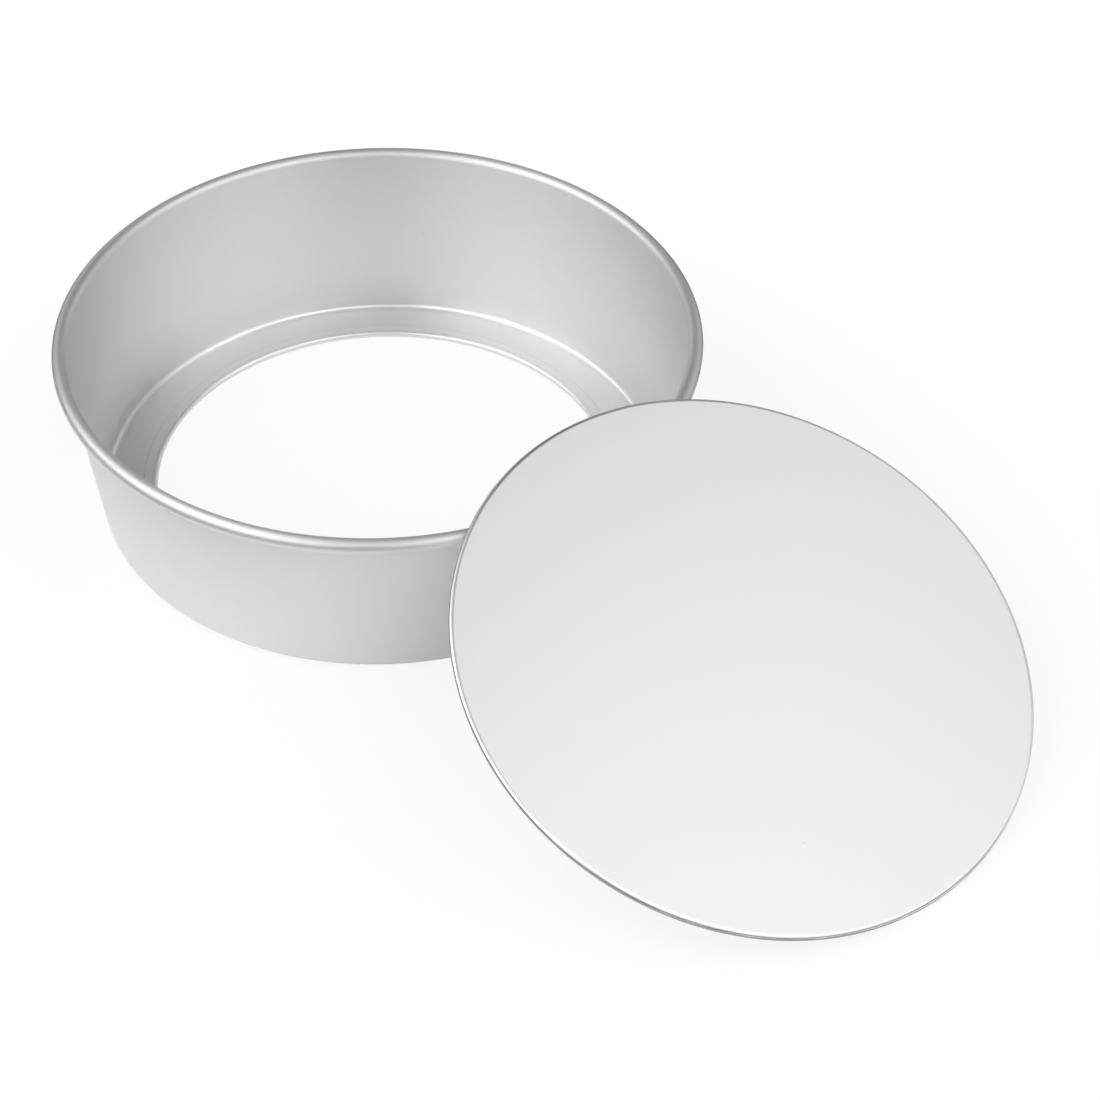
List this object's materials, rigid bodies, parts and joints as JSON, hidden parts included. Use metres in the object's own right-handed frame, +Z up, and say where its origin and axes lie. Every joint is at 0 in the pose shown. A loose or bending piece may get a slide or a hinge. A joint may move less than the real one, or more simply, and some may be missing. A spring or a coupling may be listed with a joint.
{
  "type": "loose-base cake tin",
  "caption": "Round cake tin taken apart: a tapered ring with a rolled rim and a turned-in ledge, and a flat loose base that leans on the rim and lifts off.",
  "frame": {"origin": "middle of the footprint of ring and leaning base together, on the surface that they stand on", "axes": "+Z up; +X from the ring's axis towards the leaning base; the XZ plane is the mirror plane of both pieces"},
  "size_m": [0.4454, 0.26, 0.088],
  "materials": {
    "ring_metal": "satin anodised, plain",
    "base_metal": "satin anodised, plain"
  },
  "bodies": {
    "ring": {"tin_ring": "ring_metal"},
    "base": {"loose_base": "base_metal"}
  },
  "joints": [
    {"name": "base_lift", "type": "slide", "parent": "ring", "child": "base", "axis": [0, 0, 1], "range_m": [0, 0.1]}
  ]
}
